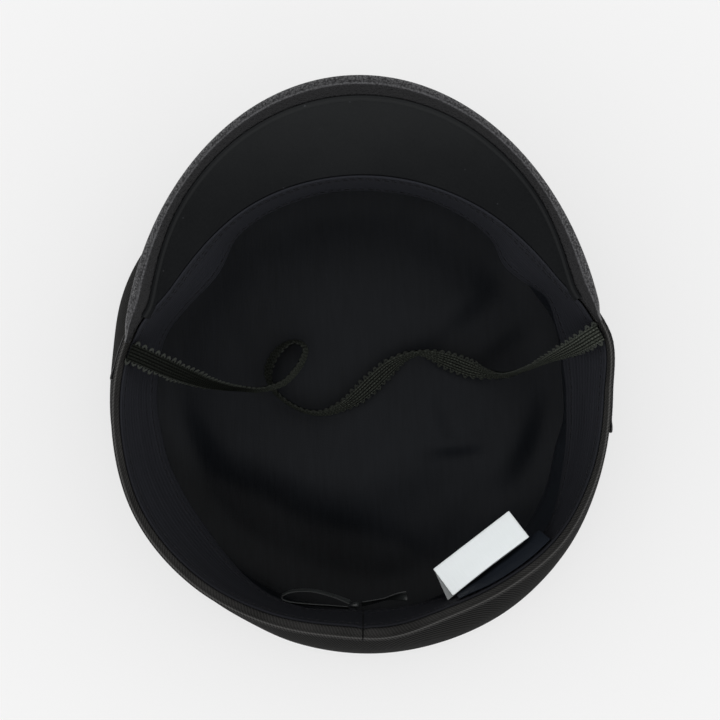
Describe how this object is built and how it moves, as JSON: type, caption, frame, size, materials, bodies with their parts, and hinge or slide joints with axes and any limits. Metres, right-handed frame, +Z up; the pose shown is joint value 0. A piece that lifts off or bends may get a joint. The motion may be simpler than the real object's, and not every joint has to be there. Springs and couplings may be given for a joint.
{
  "type": "conductor hat",
  "caption": "Child's conductor cap lying on its flat crown: upright twill band, short stiff visor, front strap, ribbed sweatband, lining and slack chin elastic.",
  "frame": {"origin": "middle of the crown's flat face, which rests on z = 0", "axes": "+Z up out of the head opening, +Y towards the middle of the visor"},
  "size_m": [0.1948, 0.2173, 0.101],
  "materials": {
    "twill": "matte black cotton twill with a diagonal rib",
    "ribbed_tape": "matte navy-black tape, with fine ribs along it",
    "lining": "plain-woven black lining with a faint sheen",
    "pebbled": "semi-gloss black leathercloth with a pebbled grain",
    "facing": "matte fine-grained black facing",
    "elastic": "matte olive-black braided elastic with looped edges",
    "ribbon": "black satin ribbon",
    "woven": "dark navy damask label, left bare",
    "satin": "white satin tag, left bare"
  },
  "bodies": {
    "root": {"crown_top": "twill", "crown_side": "twill", "head_band": "twill", "sweatband": "ribbed_tape", "lining_side": "lining", "lining_top": "lining", "visor": "pebbled", "visor_facing": "facing", "front_strap": "pebbled", "chin_elastic": "elastic", "ribbon_loop": "ribbon", "ribbon_tail": "ribbon", "ribbon_knot": "ribbon", "woven_label": "woven", "name_tag": "satin"}
  },
  "joints": []
}
